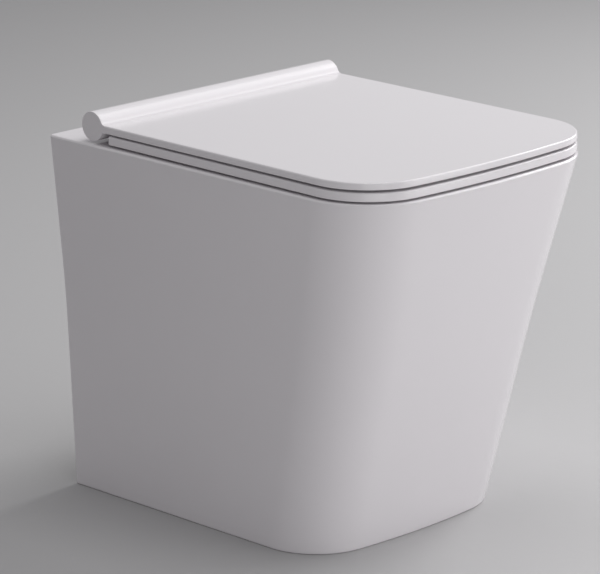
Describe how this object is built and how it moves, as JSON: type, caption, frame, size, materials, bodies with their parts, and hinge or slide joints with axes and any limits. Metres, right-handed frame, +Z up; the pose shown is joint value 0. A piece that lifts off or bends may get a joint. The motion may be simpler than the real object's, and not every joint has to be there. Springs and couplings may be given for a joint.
{
  "type": "back to wall toilet",
  "caption": "Skirted back-to-wall ceramic toilet with a slim soft-close seat, a flat lid with a full-width hinge roll, a floor fixing and rear flush and waste connections.",
  "frame": {"origin": "middle of the pan's width and of its projection, on the floor", "axes": "+Z up, -Y to the front, +Y to the wall, +X to the right as seen from the front"},
  "size_m": [0.374, 0.48, 0.4395],
  "materials": {
    "ceramic": "high gloss white vitreous china glaze",
    "seat_plastic": "glossy white moulded thermoset",
    "hinge_metal": "polished",
    "steel": "brushed stainless",
    "zinc_steel": "bright zinc plated",
    "damper_plastic": "fine matte",
    "bush_plastic": "fine matte",
    "rotor_plastic": "natural",
    "button_plastic": "fine matte",
    "plug_rubber": "matte",
    "wedge_brass": "turned",
    "buffer_rubber": "soft matte",
    "washer_plastic": "natural",
    "seal_rubber": "matte"
  },
  "bodies": {
    "pan_body": {"pan": "ceramic", "left_hinge_post": "hinge_metal", "right_hinge_post": "hinge_metal", "left_hinge_shaft": "steel", "right_hinge_shaft": "steel", "lid_damper_rotor": "rotor_plastic", "seat_damper_rotor": "rotor_plastic", "hinge_base_plates": "steel", "hinge_stud_bolts": "steel", "expanding_plugs": "plug_rubber", "wedge_nuts": "wedge_brass", "floor_brackets": "zinc_steel", "clamp_screws": "zinc_steel", "clamp_washers": "zinc_steel", "cushion_washers": "washer_plastic", "flush_inlet_seal": "seal_rubber"},
    "lid_body": {"lid": "seat_plastic", "lid_buffers": "buffer_rubber", "lid_damper_housing": "damper_plastic", "lid_damper_cap": "damper_plastic", "lid_pivot_bush": "bush_plastic"},
    "seat_body": {"seat": "seat_plastic", "seat_buffers": "buffer_rubber", "seat_damper_housing": "damper_plastic", "seat_damper_cap": "damper_plastic", "seat_pivot_bush": "bush_plastic"},
    "left_button_body": {"left_release_button": "button_plastic"},
    "right_button_body": {"right_release_button": "button_plastic"}
  },
  "joints": [
    {"name": "lid_hinge", "type": "hinge", "parent": "pan_body", "child": "lid_body", "pos_m": [0, 0.1785, 0.4235], "axis": [-1, 0, 0], "range_deg": [0, 95]},
    {"name": "seat_hinge", "type": "hinge", "parent": "pan_body", "child": "seat_body", "pos_m": [0, 0.1785, 0.4235], "axis": [-1, 0, 0], "range_deg": [0, 95]},
    {"name": "left_button_slide", "type": "slide", "parent": "pan_body", "child": "left_button_body", "axis": [0, -1, 0], "range_m": [0, 0.005], "stiffness_N_per_m": 500},
    {"name": "right_button_slide", "type": "slide", "parent": "pan_body", "child": "right_button_body", "axis": [0, -1, 0], "range_m": [0, 0.005], "stiffness_N_per_m": 500}
  ],
  "couplings": [
    {"joint": "seat_hinge", "follows": "lid_hinge", "ratio": 1}
  ]
}
